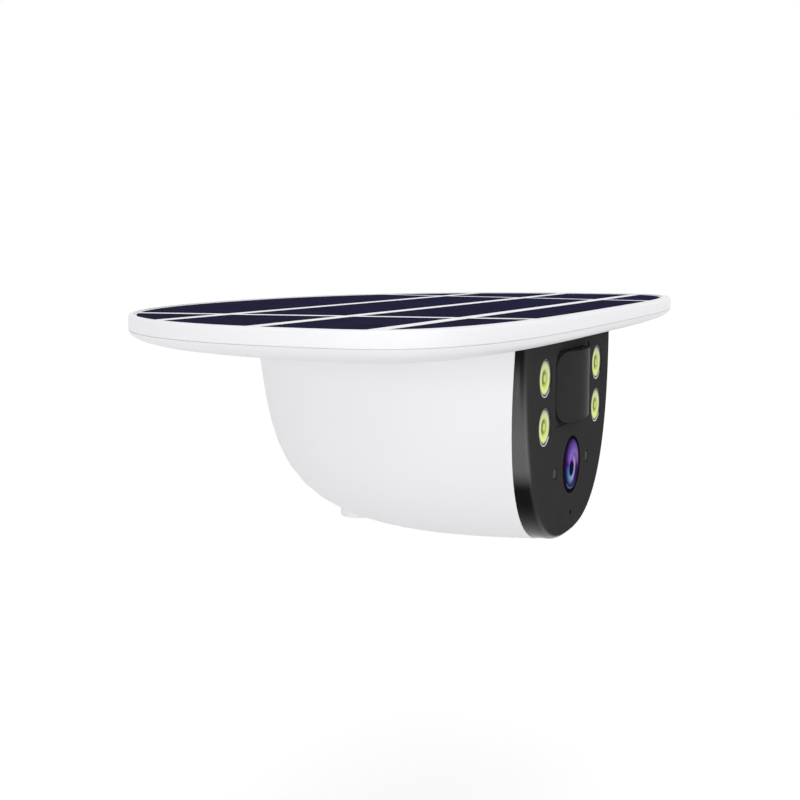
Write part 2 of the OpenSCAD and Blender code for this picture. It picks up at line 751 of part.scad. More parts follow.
// The front element: a dome in front and a flat behind
glass_out = 1.2;
glass_sag = 1.2;
glass_edge = 1.4;
glass_facets = 300;
glass_curve = (glass_r * glass_r + glass_sag * glass_sag) / (2 * glass_sag);
barrel_y = glass_sag + glass_edge - glass_out;
module lens_glass() placed() color("#3a2a55") intersection() {
    translate([0, glass_curve - glass_out, 0]) sphere(glass_curve, $fn = glass_facets);
    rod([0, 0], -glass_out - past, barrel_y, glass_r);
}

// The barrel slides into the holder, which stands on the camera board over the image sensor
barrel_r = 6;
barrel_flange = 3;
barrel_mouth = [5, 1.2];
barrel_tail = [4, 3];
holder_l = 11;
holder_base = 5;
holder_wall = 1.6;
holder_half = 8.5;
holder_room = [6, 3];
barrel_end = camera_y - holder_room[1] - fit;
module lens_barrel() placed() color("#1c1c1e") difference() {
    union() {
        rod([0, 0], barrel_y, barrel_y + barrel_flange, glass_r);
        rod([0, 0], barrel_y, barrel_end, barrel_r);
    }
    rod([0, 0], barrel_y - past, barrel_y + barrel_mouth[1], barrel_mouth[0]);
    rod([0, 0], barrel_end - barrel_tail[1], barrel_end + past, barrel_tail[0]);
}
module lens_holder() placed() color("#202022") difference() {
    union() {
        rod([0, 0], camera_y - holder_l, camera_y - past, barrel_r + holder_wall);
        block([-holder_half, camera_y - holder_base, -holder_half], [holder_half, camera_y, holder_half]);
    }
    rod([0, 0], camera_y - holder_l - past, camera_y - holder_room[1] + eps, barrel_r + run);
    block([-holder_room[0], camera_y - holder_room[1], -holder_room[0]],
          [holder_room[0], camera_y + past, holder_room[0]]);
}
sensor_size = [9, 1.4, 8];
module image_sensor() placed() color("#3d5a4c")
    block([-sensor_size[0] / 2, camera_y - sensor_size[1], -sensor_size[2] / 2],
          [sensor_size[0] / 2, camera_y, sensor_size[2] / 2]);

board_corner = 2;
camera_back = camera_y + board_t;
module camera_board() placed() color("darkgreen") difference() {
    slab(camera_y, camera_back) translate([0, camera_mid]) soft_rect(camera_w, camera_h, board_corner);
    for (p = pillar_spots) rod(p, camera_y - past, camera_back + past, board_screw[0] + fit);
}
// Chips behind the camera board, behind the two small windows and under the power board
chip_t = 1.5;
chip_big = 12;
chip_mid = 9;
chip_small = 6;
pipe_chip = [2.4, 0.8];
module rear_chip(x, z, w) {
    block([x - w / 2, camera_back, z - w / 2], [x + w / 2, camera_back + chip_t, z + w / 2]);
}
module power_chip(x, w) {
    y = power_y + power_size[1] * 2 / 3;
    block([x - w / 2, y - w / 2, power_z - chip_t], [x + w / 2, y + w / 2, power_z]);
}
module board_chips() placed() color("#26262a") {
    rear_chip(0, camera_mid, chip_big);
    rear_chip(-camera_w / 4, camera_mid, chip_mid);
    rear_chip(camera_w / 4, camera_mid + camera_h / 4, chip_mid);
    rear_chip(-camera_w / 4, camera_mid + camera_h / 4, chip_small);
    for (m = [-1, 1]) translate([m * pipe_x, 0, 0]) slab(camera_y - pipe_chip[1], camera_y)
        square(pipe_chip[0], center = true);
    power_chip(-power_size[0] / 5, chip_small);
    power_chip(power_size[0] / 5, chip_mid);
}
module board_screws() placed() color("silver") {
    for (p = pillar_spots) screw_along_y(board_screw, p, camera_back);
    for (p = led_boss_spots) screw_along_y(board_screw, p, led_y + board_t);
    for (p = power_spots) translate([p[0], p[1], power_z]) screw(board_screw);
}

// LED cups: a cone from the mouth down to the emitter, with the lens resting in it
cup_r = led_d / 2 - fit;
cup_rim = 0.3;
cup_mouth = cup_r - cup_rim;
cup_throat = 2.8;
cup_front = 0.15;
cup_foot = 1.2;
cup_depth = led_y - cup_foot - cup_front;
cup_lean = (cup_mouth - cup_throat) / cup_depth;
module led_reflectors() placed() color("gainsboro")
    for (p = led_spots) turned(p, 0)
        polygon([[cup_mouth, cup_front], [cup_r, cup_front], [cup_r, led_y], [cup_throat, led_y],
                 [cup_throat, led_y - cup_foot]]);
// Each lens has a flat middle with a groove round it
optic_in = 0.2;
optic_core = 1.7;
optic_ring = 3.2;
optic_groove = 0.7;
optic_end = cup_depth - fit;
function optic_r(y) = cup_mouth - cup_lean * y - fit;
module led_lenses() placed() color("#e8e8b0")
    for (p = led_spots) turned(p, cup_front)
        polygon([[0, optic_in], [optic_core, optic_in],
                 [(optic_core + optic_ring) / 2, optic_in + optic_groove], [optic_ring, optic_in],
                 [optic_r(optic_in), optic_in], [optic_r(optic_end), optic_end], [0, optic_end]]);
emitter_w = 3.4;
emitter_t = 0.8;
module led_emitters() placed() color("gold")
    for (p = led_spots) translate([p[0], led_y - emitter_t, p[1]])
        block([-emitter_w / 2, 0, -emitter_w / 2], [emitter_w / 2, emitter_t, emitter_w / 2]);
led_board_w = 2 * (led_x - pillar_x - pillar_r - move_gap);
led_board_h = led_high - led_low + led_d;
module led_boards() placed() color("ivory") difference() {
    for (m = [-1, 1]) translate([m * led_x, 0, led_mid_z])
        slab(led_y, led_y + board_t) soft_rect(led_board_w, led_board_h, board_corner);
    for (p = led_boss_spots) rod(p, led_y - past, led_y + board_t + past, board_screw[0] + fit);
}

// The motion sensor's lens: a curved window with walls and a flange behind the bezel's wall
pir_t = 1.2;
pir_back = bezel_wall + pir_t;
module pir_curve(in, back) {
    intersection() {
        slab(-pir_bulge - past, back) soft_rect(pir_w - 2 * in, pir_h - 2 * in, pir_corner - in);
        translate([0, pir_r - pir_bulge, -pir_h]) cylinder(h = 2 * pir_h, r = pir_r - in);
    }
}
module pir_lens() placed() color("#1d1d1f") translate([0, 0, pir_z]) difference() {
    union() {
        pir_curve(0, pir_back);
        slab(bezel_wall, pir_back)
            soft_rect(pir_w + 2 * pir_flange, pir_h + 2 * pir_flange, pir_corner + pir_flange);
    }
    pir_curve(pir_t, pir_back + past);
}
can_r = 4.6;
can_l = 5;
can_foot = [4.9, 0.6];
module pir_sensor() placed() color("silver") {
    rod([0, pir_z], camera_y - can_l, camera_y, can_r);
    rod([0, pir_z], camera_y - can_foot[1], camera_y, can_foot[0]);
}
// The light pipes behind the two small windows
pipe_edge = 0.4;
pipe_in = 0.1;
pipe_flange = [0.7, 1];
pipe_stem = 1.4;
pipe_end = camera_y - pipe_chip[1] - move_gap;
module light_pipes() placed() color("#9a9a9e")
    for (m = [-1, 1]) turned([m * pipe_x, 0], 0) {
        r = pipe_d / 2;
        polygon([[0, pipe_in], [r - pipe_edge, pipe_in], [r, pipe_in + pipe_edge], [r, bezel_wall],
                 [r + pipe_flange[0], bezel_wall], [r + pipe_flange[0], bezel_wall + pipe_flange[1]],
                 [pipe_stem, bezel_wall + pipe_flange[1]], [pipe_stem, pipe_end], [0, pipe_end]]);
    }
mic_r = 3;
mic_l = 2.6;
boot_wall = 0.9;
boot_floor = 0.6;
boot_hole = 1.2;
module mic_boot() placed() color("#303030") turned([0, -mic_low], bezel_wall)
    polygon([[boot_hole, 0], [mic_r + boot_wall, 0], [mic_r + boot_wall, boot_floor + mic_l],
             [mic_r + run, boot_floor + mic_l], [mic_r + run, boot_floor], [boot_hole, boot_floor]]);
module microphone() placed() color("silver")
    rod([0, -mic_low], bezel_wall + boot_floor, bezel_wall + boot_floor + mic_l, mic_r);

// Battery: two cells lie side by side in a cradle that hangs from the dish
cell_edge = 1;
cell_start = battery_y + battery_end + tab_t;
cell_x = battery_pitch / 2;
module battery_cells() placed() color("royalblue")
    for (m = [-1, 1]) turned([m * cell_x, battery_z], cell_start) {
        r = cell_d / 2;
        polygon([[0, 0], [r - cell_edge, 0], [r, cell_edge], [r, cell_l - cell_edge],
                 [r - cell_edge, cell_l], [0, cell_l]]);
    }
module battery_tabs() placed() color("lightsteelblue")
    for (y = [cell_start - tab_t, cell_start + cell_l])
        block([-cell_x - tab_half, y, battery_z - tab_half],
              [cell_x + tab_half, y + tab_t, battery_z + tab_half]);
battery_room = 5;
module battery_tray() placed() color("slategray") difference() {
    y1 = battery_y + battery_end;
    y2 = battery_y + battery_l - battery_end;
    union() {
        block([-battery_half, battery_y, battery_z - cell_d / 2 - battery_wall],
              [battery_half, battery_y + battery_l, battery_top]);
        for (p = battery_post_spots) translate([p[0], p[1], battery_top]) {
            cylinder(h = battery_ear_t, r = battery_post_r + battery_ear_rim);
            reach = battery_post_x - battery_half + battery_wall - fit;
            translate([p[0] > 0 ? -reach : 0, -battery_post_r, 0])
                cube([reach, 2 * battery_post_r, battery_ear_t]);
        }
    }
    for (x = [-cell_x, cell_x]) {
        rod([x, battery_z], y1, y2, cell_d / 2 + fit);
        block([x - cell_d / 2 - fit, y1, battery_z], [x + cell_d / 2 + fit, y2, battery_top + cell_d]);
    }
    block([-cell_x - battery_room, y1, battery_z - battery_room],
          [cell_x + battery_room, y2, battery_top + past]);
    for (p = battery_post_spots) translate([p[0], p[1], battery_top - past])
        cylinder(h = battery_ear_t + 2 * past, r = battery_screw[0] + fit);
}
module battery_screws() placed() color("silver")
    for (p = battery_post_spots) translate([p[0], p[1], battery_top]) screw(battery_screw);

module power_board() placed() color("darkgreen") difference() {
    translate([0, power_y + power_size[1] / 2, power_z]) linear_extrude(board_t)
        soft_rect(power_size[0], power_size[1], board_corner);
    for (p = power_spots) translate([p[0], p[1], power_z - past])
        cylinder(h = board_t + 2 * past, r = board_screw[0] + fit);
}
module panel_lead() placed() color("firebrick")
    for (m = [-1, 1])
        translate([m * lead_apart, lead_y, power_z + board_t])
            cylinder(h = panel_z - power_z - board_t, r = lead_r);
antenna_size = [10, 44];
antenna_t = 0.4;
antenna_back = 18;
module antenna_strip() placed() color("peru")
    translate([tray_w / 4, tray_mid + antenna_back, dish_floor]) linear_extrude(antenna_t)
        soft_rect(antenna_size[0], antenna_size[1], board_corner);

// Port board and what it carries
port_board_z = port_top + move_gap;
module port_board() placed() color("darkgreen")
    block([-port_board_w / 2, port_board_y, port_board_z],
          [port_board_w / 2, port_board_y + board_t, port_top + port_board_h]);
// The charging socket: a shell, a tongue and a back
usb_wall = 0.4;
usb_corner = 1.4;
usb_tongue = [6.6, 0.7, 0.6];
usb_back = 1.2;
module charge_socket() placed() color("silver")
    translate([usb_x, port_board_y - usb_size[1] / 2, port_roof]) {
        linear_extrude(usb_size[2]) difference() {
            soft_rect(usb_size[0], usb_size[1], usb_corner);
            soft_rect(usb_size[0] - 2 * usb_wall, usb_size[1] - 2 * usb_wall, usb_corner - usb_wall);
        }
        translate([0, 0, usb_tongue[2]]) linear_extrude(usb_size[2] - usb_tongue[2])
            square([usb_tongue[0], usb_tongue[1]], center = true);
        translate([0, 0, usb_size[2] - usb_back]) linear_extrude(usb_back)
            soft_rect(usb_size[0] - usb_wall, usb_size[1] - usb_wall, usb_corner - usb_wall / 2);
    }
module card_socket() placed() color("gainsboro") difference() {
    y1 = port_board_y + board_t;
    y2 = y1 + socket_size[1];
    half = socket_size[0] / 2;
    top = port_board_z + socket_size[2];
    block([-half, y1, port_board_z], [half, y2, top]);
    block([-card_w / 2 - move_gap, y1 + socket_wall, port_board_z - past],
          [card_w / 2 + move_gap, y2 - socket_wall, top - socket_back]);
}
module memory_card() placed() color("#303036") {
    y = port_board_y + board_t + socket_size[1] / 2 + card_t / 2;
    translate([0, y, port_roof - card_out]) rotate([90, 0, 0]) linear_extrude(card_t) difference() {
        translate([-card_w / 2, 0]) square([card_w, card_l]);
        translate([card_w / 2 - card_notch[0], card_l - card_notch[1]]) square([card_w, card_l]);
    }
}
module push_switches() placed() color("dimgray")
    for (x = [power_x, reset_x])
        block([x - switch_size[0] / 2, port_board_y - switch_size[1], switch_z],
              [x + switch_size[0] / 2, port_board_y, switch_z + switch_size[2]]);
// A button: its cap shows under the roof of the port, and its lip rests on top of the roof
module push_button(x, d) {
    r = d / 2;
    low = port_roof - button_out;
    translate([x, button_y, 0]) rotate_extrude()
        polygon([[0, low], [r - button_edge, low], [r, low + button_edge], [r, lip_z],
                 [r + button_flange, lip_z], [r + button_flange, lip_z + button_lip],
                 [0, lip_z + button_lip]]);
}
module power_button() placed() color("#c0392b") push_button(power_x, power_d);
module reset_button() placed() color("#404040") push_button(reset_x, reset_d);

// The door: a plate curved like the belly, and a knuckle between the two walls of the hinge slot
belly_r = 78;
knuckle_half = lug_x - move_gap;
module port_door() placed() color("whitesmoke") difference() {
    union() {
        intersection() {
            block([-door_half, door_start, door_low - past], [door_half, door_end, door_top]);
            translate([0, port_y, door_low + belly_r]) rotate([-90, 0, 0])
                cylinder(h = port_l, r = belly_r, $fn = 360);
        }
        block([-knuckle_half, door_end - past, hinge_z - knuckle_r + knuckle_up],
              [knuckle_half, hinge_y, door_top]);
        translate([-knuckle_half, hinge_y, hinge_z]) rotate([0, 90, 0])
            cylinder(h = 2 * knuckle_half, r = knuckle_r);
    }
    translate([-knuckle_half - past, hinge_y, hinge_z]) rotate([0, 90, 0])
        cylinder(h = 2 * (knuckle_half + past), d = door_pin_d + 2 * run);
}
// The seal lies on the door, just inside its edge
door_seal_in = 0.2;
door_seal_corner = 1.5;
module door_seal_shape(in) {
    r = max(door_seal_corner - in, fit);
    soft_rect(2 * (door_half - door_seal_in - in), door_end - door_start - 2 * (door_seal_in + in), r);
}
module port_seal() placed() color("dimgray")
    translate([0, (door_start + door_end) / 2, door_top]) linear_extrude(seal_t) difference() {
        door_seal_shape(0);
        door_seal_shape(seal_w);
    }
module door_pin() placed() color("silver")
    translate([-slot_half, hinge_y, hinge_z]) rotate([0, 90, 0])
        cylinder(h = 2 * slot_half, d = door_pin_d);

panel_tray();
solar_board();
solar_cells();
tray_seal();
dish_cover();
cover_screws();
body_shell();
body_seal();
body_screws();
mount_insert();
port_tub();
front_bezel();
bezel_seal();
bezel_screws();
lens_ring();
lens_glass();
lens_barrel();
lens_holder();
image_sensor();
camera_board();
board_chips();
board_screws();
led_lenses();
led_reflectors();
led_emitters();
led_boards();
pir_lens();
pir_sensor();
light_pipes();
microphone();
mic_boot();
battery_cells();
battery_tabs();
battery_tray();
battery_screws();
power_board();
panel_lead();
antenna_strip();
port_board();
charge_socket();
card_socket();
memory_card();
push_switches();
power_button();
reset_button();
port_door();
port_seal();
door_pin();
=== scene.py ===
"""Looks of a solar-powered security camera: a level solar panel over a white bowl with a black face."""

import json
import math

import bpy
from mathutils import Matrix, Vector


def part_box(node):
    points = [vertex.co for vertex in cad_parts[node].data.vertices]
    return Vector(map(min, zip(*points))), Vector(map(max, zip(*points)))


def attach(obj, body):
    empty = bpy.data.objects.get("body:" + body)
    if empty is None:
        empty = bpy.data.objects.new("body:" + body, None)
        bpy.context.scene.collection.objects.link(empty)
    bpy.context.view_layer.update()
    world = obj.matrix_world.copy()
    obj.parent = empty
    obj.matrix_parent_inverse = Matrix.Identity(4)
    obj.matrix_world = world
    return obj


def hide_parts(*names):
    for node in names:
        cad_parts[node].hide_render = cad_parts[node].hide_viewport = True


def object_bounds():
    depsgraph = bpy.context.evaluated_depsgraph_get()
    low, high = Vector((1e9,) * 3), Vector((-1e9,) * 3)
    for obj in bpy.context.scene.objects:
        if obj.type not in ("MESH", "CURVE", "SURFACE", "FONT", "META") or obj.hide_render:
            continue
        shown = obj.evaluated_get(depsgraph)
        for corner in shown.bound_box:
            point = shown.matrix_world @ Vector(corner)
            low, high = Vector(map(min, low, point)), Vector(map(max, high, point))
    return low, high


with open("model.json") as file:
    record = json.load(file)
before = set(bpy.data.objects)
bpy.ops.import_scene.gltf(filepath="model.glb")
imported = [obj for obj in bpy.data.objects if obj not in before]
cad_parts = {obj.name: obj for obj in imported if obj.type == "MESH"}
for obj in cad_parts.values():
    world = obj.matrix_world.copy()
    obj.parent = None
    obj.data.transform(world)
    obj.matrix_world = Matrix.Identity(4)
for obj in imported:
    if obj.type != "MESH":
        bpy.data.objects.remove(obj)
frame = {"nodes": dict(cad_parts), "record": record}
cad_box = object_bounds()
nodes = frame["nodes"]
MM = 0.001

# Camera: where the photograph was taken from, with angles in degrees and the lens in millimetres
CAMERA_PLACE = (-0.38089, -0.19795, 0.10145)
CAMERA_DOWN = 7.449
CAMERA_TURN = -64.718
CAMERA_LENS = 50
CAMERA_SENSOR = 36
CAMERA_NEAR = 0.01
CAMERA_FAR = 50

# Floor: it lies well below the part and glows more away from the middle
FLOOR_DROP = 0.16
FLOOR_SIZE = 14
FLOOR_REACH = 2.2
FLOOR_GLOW = 0.42
FLOOR_FAR_GLOW = 0.58

# Shares of the floor's glow and of the white background that light the part
FLOOR_BOUNCE = 0.12
WORLD_LIGHT = 0.58

# Lamps: name, place, target, size and watts
LAMPS = [
    ("key", (-1.2, 0.12, 0.06), (0, 0, 0.04), 0.5, 3.8),
    ("front", (-0.35, -1.15, 0.36), (0, 0, 0.04), 0.9, 4.5),
    ("top", (-0.2, -0.2, 1.3), (0, 0, 0.08), 0.9, 4.2),
]

# Thread of the bracket socket: a quarter-inch camera thread, with its points per turn and rings per pitch
THREAD_PITCH = 1.27 * MM
THREAD_CORE = 2.55 * MM
THREAD_CREST = 3.175 * MM
THREAD_TURN = 48
THREAD_LEVELS = 12

# Shading of the CAD meshes: how close points are joined, and the sharpest edge in degrees that looks round
WELD = 0.002 * MM
SOFT_ANGLE = 32

# Grain: how fine the roughness of plastics and metals varies, and the brushing of metals
ROUGH_GRAIN = 400
METAL_ROUGH_GRAIN = 1500
METAL_SPREAD = 0.06
METAL_PATCH = 900
METAL_GRAIN = 2600
METAL_DEPTH = 0.004 * MM

# Solar cells: the crystals, where painted light turns the navy lighter from left to right, and the silver
# lines
CRYSTAL_SCALE = 160
PAINTED_LIGHT_SIDE = (-0.06, 0.14)
LINE_PITCH = 1.6 * MM
LINE_EDGE = (0.90, 1.0)
LINE_SHARE = 0.10
LINE_SILVER = (0.20, 0.21, 0.32)

# Camera lens: its middle and radius, then its painted reflections and the painted shade of its pupil and
# edge, with places in shares of the radius
glass_low, glass_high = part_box("lens_glass")
LENS_X = (glass_low.x + glass_high.x) / 2
LENS_Z = (glass_low.z + glass_high.z) / 2
LENS_R = (glass_high.x - glass_low.x) / 2
BAND_INNER = (0.40, 0.54)
BAND_OUTER = (0.70, 0.58)
BAND_HIGH = (-0.25, 0.15)
BAND_SHARE = 0.35
LILAC_REFLECTION = (0.30, 0.24, 0.64)
PUPIL_SIDE = -0.33
PUPIL_UP = -0.09
PUPIL_FLAT = 0.75
PUPIL_EDGE = (0.29, 0.18)
PUPIL_SHADE_BLUE = (0.004, 0.007, 0.038)
GLOW_INNER = (0.20, 0.31)
GLOW_OUTER = (0.50, 0.36)
GLOW_SIDE = (-0.05, 0.30)
GLOW_SLANT = 0.3
PINK_REFLECTION = (0.46, 0.31, 0.56)
SHADE_SIDE = 0.10
SHADE_UP = 0.06
SHADE_EDGE = (0.60, 1.02)
SHADE_PLUM = (0.014, 0.006, 0.042)
ARC_INNER = (0.86, 0.91)
ARC_OUTER = (0.97, 0.93)
ARC_LOW = (-0.55, -0.85)
ARC_REFLECTION_GREY = (0.10, 0.13, 0.22)

# Painted reflections of the lens coating: their colours by share of a turn from the left by way of the
# bottom
LENS_COAT_REFLECTIONS = [
    (0.00, (0.05, 0.14, 0.56)), (0.12, (0.16, 0.45, 0.68)), (0.25, (0.04, 0.07, 0.24)),
    (0.34, (0.016, 0.012, 0.085)), (0.46, (0.05, 0.012, 0.09)), (0.60, (0.24, 0.11, 0.36)),
    (0.76, (0.14, 0.10, 0.40)), (0.92, (0.22, 0.08, 0.48)), (0.985, (0.08, 0.015, 0.20)),
    (1.00, (0.05, 0.14, 0.56)),
]

# LED lenses and their cups: two above each other on each side of the face, with painted shade on top of
# each lens, painted light at its bottom and a painted reflection at the bottom of each cup
cup_low, cup_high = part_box("led_reflectors")
CUP_R = 6.4 * MM
CUP_LOW = (-0.45 * CUP_R, -0.85 * CUP_R)
CUP_REFLECTION_PALE = (0.66, 0.72, 0.84)
LED_X = cup_high.x - CUP_R
LED_Z = (cup_low.z + cup_high.z) / 2
LED_HALF = (cup_high.z - cup_low.z) / 2 - CUP_R
LED_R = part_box("led_lenses")[1].x - LED_X
LED_HIGH = (0.1 * LED_R, 0.95 * LED_R)
LED_HIGH_SHARE = 0.5
LED_TOP_SHADE_GREY = (0.52, 0.55, 0.40)
LED_LOW = (-0.2 * LED_R, -0.7 * LED_R)
LED_LOW_EDGE = (0.93, 0.80)
LED_LOW_SHARE = 0.75
LED_BOTTOM_LIGHT_GREEN = (0.84, 0.96, 0.26)

# Colours of an LED lens, by share of its radius, darkening to painted shade at its rim
LED_RINGS = [
    (0.00, (0.70, 0.78, 0.28)), (0.20, (0.64, 0.72, 0.25)), (0.30, (0.22, 0.25, 0.07)),
    (0.41, (0.28, 0.31, 0.09)), (0.54, (0.74, 0.83, 0.32)), (0.77, (0.80, 0.88, 0.42)),
    (0.90, (0.46, 0.50, 0.32)), (1.00, (0.07, 0.075, 0.055)),
]

# Bezel: how far its surface faces the front where the painted shade of the sides and their polish begin,
# which slopes of the sides are polished, and how the polish fades towards the top as painted shade under
# the dish
BEZEL_SIDE = (0.75, 0.45)
BEZEL_SIDE_SHADE = (0.010, 0.010, 0.011)
POLISH_SIDE = (0.92, 0.60)
POLISH_UPRIGHT = (-0.45, -0.31)
POLISH_UNDER = (-0.52, -1.10)
POLISH_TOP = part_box("front_bezel")[1].z
POLISH_SHADE_FADE = (POLISH_TOP - 2 * MM, POLISH_TOP - 33 * MM)
LEAST_DIVISOR = 0.01

# Microphone: the painted shade round the mouth of its hole in the bezel, and the felt on its front
boot_low, boot_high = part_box("mic_boot")
MIC_X = (boot_low.x + boot_high.x) / 2
MIC_Z = (boot_low.z + boot_high.z) / 2
MIC_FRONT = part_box("microphone")[0].y
MOUTH_EDGE = (1.0 * MM, 0.75 * MM)
MOUTH_SHADE_BLACK = (0.003, 0.003, 0.003)
FELT_EDGE = (MIC_FRONT + 0.4 * MM, MIC_FRONT + 0.1 * MM)

# Charging socket: its middle, and the edges of its tongue
plug_low, plug_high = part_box("charge_socket")
PLUG_X = (plug_low.x + plug_high.x) / 2
PLUG_Y = (plug_low.y + plug_high.y) / 2
TONGUE_X = (3.6 * MM, 3.4 * MM)
TONGUE_Y = (0.6 * MM, 0.45 * MM)
INSERT_BLACK = (0.006, 0.006, 0.007)


class Finish:
    """A procedural material, with short calls for the shader nodes that the finishes share."""

    def __init__(self, name):
        self.name = name
        self.material = bpy.data.materials.new(name + "_finish")
        self.material.use_nodes = True
        self.tree = self.material.node_tree
        self.shader = self.tree.nodes["Principled BSDF"]
        self.place = self.add("ShaderNodeTexCoord").outputs["Object"]

    def add(self, kind, **settings):
        node = self.tree.nodes.new(kind)
        for key, value in settings.items():
            setattr(node, key, value)
        return node

    def feed(self, socket, value):
        """Sets a socket to a plain value, or links another node's output to it."""
        if isinstance(value, bpy.types.NodeSocket):
            self.tree.links.new(value, socket)
        else:
            socket.default_value = value

    def set(self, **values):
        """Sets or links the shader's sockets, with _ for the spaces in their names."""
        for key, value in values.items():
            self.feed(self.shader.inputs[key.replace("_", " ")], value)

    def colour(self):
        """The output that feeds the shader's colour so far."""
        return self.shader.inputs["Base Color"].links[0].from_socket

    def math(self, operation, a, b=0.0):
        node = self.add("ShaderNodeMath", operation=operation)
        self.feed(node.inputs[0], a)
        self.feed(node.inputs[1], b)
        return node.outputs[0]

    def minus(self, a, b):
        return self.math("SUBTRACT", a, b)

    def over(self, a, b):
        return self.math("DIVIDE", a, b)

    def times(self, first, *others):
        """The product of all values."""
        for other in others:
            first = self.math("MULTIPLY", first, other)
        return first

    def length(self, a, b):
        """The length of a way with two square parts."""
        return self.math("SQRT", self.math("ADD", self.times(a, a), self.times(b, b)))

    def size(self, value):
        """A value without its sign."""
        return self.math("ABSOLUTE", value)

    def split(self, vector):
        """The X, Y and Z of a vector."""
        node = self.add("ShaderNodeSeparateXYZ")
        self.feed(node.inputs[0], vector)
        return node.outputs

    def noise(self, scale, stretch=None):
        node = self.add("ShaderNodeTexNoise")
        place = self.place
        if stretch:
            mapping = self.add("ShaderNodeMapping")
            self.feed(mapping.inputs["Vector"], place)
            mapping.inputs["Scale"].default_value = stretch
            place = mapping.outputs[0]
        self.feed(node.inputs["Vector"], place)
        self.feed(node.inputs["Scale"], scale)
        return node.outputs["Fac"]

    def ramp(self, value, stops):
        """Colours along a value: stops are (place, (r, g, b))."""
        node = self.add("ShaderNodeValToRGB")
        elements = node.color_ramp.elements
        while len(elements) < len(stops):
            elements.new(0.5)
        for element, (place, colour) in zip(elements, stops):
            element.position = place
            element.color = (*colour, 1)
        self.feed(node.inputs[0], value)
        return node.outputs[0]

    def mix(self, share, first, second):
        """The first colour, with a share of the second over it."""
        node = self.add("ShaderNodeMix", data_type="RGBA")
        self.feed(node.inputs["Factor"], share)
        for socket, colour in ((node.inputs[6], first), (node.inputs[7], second)):
            self.feed(socket, colour if isinstance(colour, bpy.types.NodeSocket) else (*colour, 1))
        return node.outputs[2]

    def step(self, value, start, end):
        """A share that goes smoothly from 0 at the start to 1 at the end."""
        node = self.add("ShaderNodeMapRange", interpolation_type="SMOOTHSTEP")
        self.feed(node.inputs["Value"], value)
        self.feed(node.inputs["From Min"], start)
        self.feed(node.inputs["From Max"], end)
        return node.outputs[0]

    def rough(self, middle, spread, grain=ROUGH_GRAIN):
        """Roughness that varies a little over the surface."""
        node = self.add("ShaderNodeMapRange")
        self.feed(node.inputs["Value"], self.noise(grain))
        self.feed(node.inputs["To Min"], middle - spread)
        self.feed(node.inputs["To Max"], middle + spread)
        self.set(Roughness=node.outputs[0])

    def bump(self, height, depth):
        """Fine relief."""
        node = self.add("ShaderNodeBump")
        node.inputs["Strength"].default_value = 1
        node.inputs["Distance"].default_value = depth
        self.feed(node.inputs["Height"], height)
        self.set(Normal=node.outputs[0])


def tinted(name, first, second, patch, rough, spread, grain, depth, **values):
    """A finish whose colour drifts between two tints, with a fine grain in relief."""
    finish = Finish(name)
    finish.set(Base_Color=finish.mix(finish.noise(patch), first, second), **values)
    finish.rough(rough, spread)
    finish.bump(finish.noise(grain), depth)
    return finish


def metal(name, first, second, rough, stretch=(1, 1, 1)):
    """A metal whose colour and relief vary along its brushing."""
    finish = Finish(name)
    patches = finish.noise(METAL_PATCH, stretch)
    finish.set(Base_Color=finish.mix(patches, first, second), Metallic=1.0)
    finish.rough(rough, METAL_SPREAD, METAL_ROUGH_GRAIN)
    finish.bump(finish.noise(METAL_GRAIN, stretch), METAL_DEPTH)
    return finish


def solar_finish(name):
    """Navy cells: crystal patches, painted light that turns them lighter towards the right, and hair-fine
    silver lines.
    """
    finish = Finish(name)
    place = finish.split(finish.place)
    crystal = finish.add("ShaderNodeTexVoronoi")
    finish.feed(crystal.inputs["Vector"], finish.place)
    finish.feed(crystal.inputs["Scale"], CRYSTAL_SCALE)
    to_grey = finish.add("ShaderNodeRGBToBW")
    finish.feed(to_grey.inputs[0], crystal.outputs["Color"])
    grey = to_grey.outputs[0]
    navy = finish.mix(grey, (0.016, 0.0155, 0.038), (0.023, 0.022, 0.052))
    lighter = finish.mix(grey, (0.018, 0.0175, 0.053), (0.024, 0.023, 0.068))
    # painted light: the navy turns lighter from left to right
    body = finish.mix(finish.step(place["X"], *PAINTED_LIGHT_SIDE), navy, lighter)
    wave = finish.math("SINE", finish.times(place["Y"], 2 * math.pi / LINE_PITCH))
    line = finish.times(finish.step(wave, *LINE_EDGE), LINE_SHARE)
    finish.set(Base_Color=finish.mix(line, body, LINE_SILVER), Specular_IOR_Level=0.0)
    finish.rough(middle=0.5, spread=0.05)
    return finish


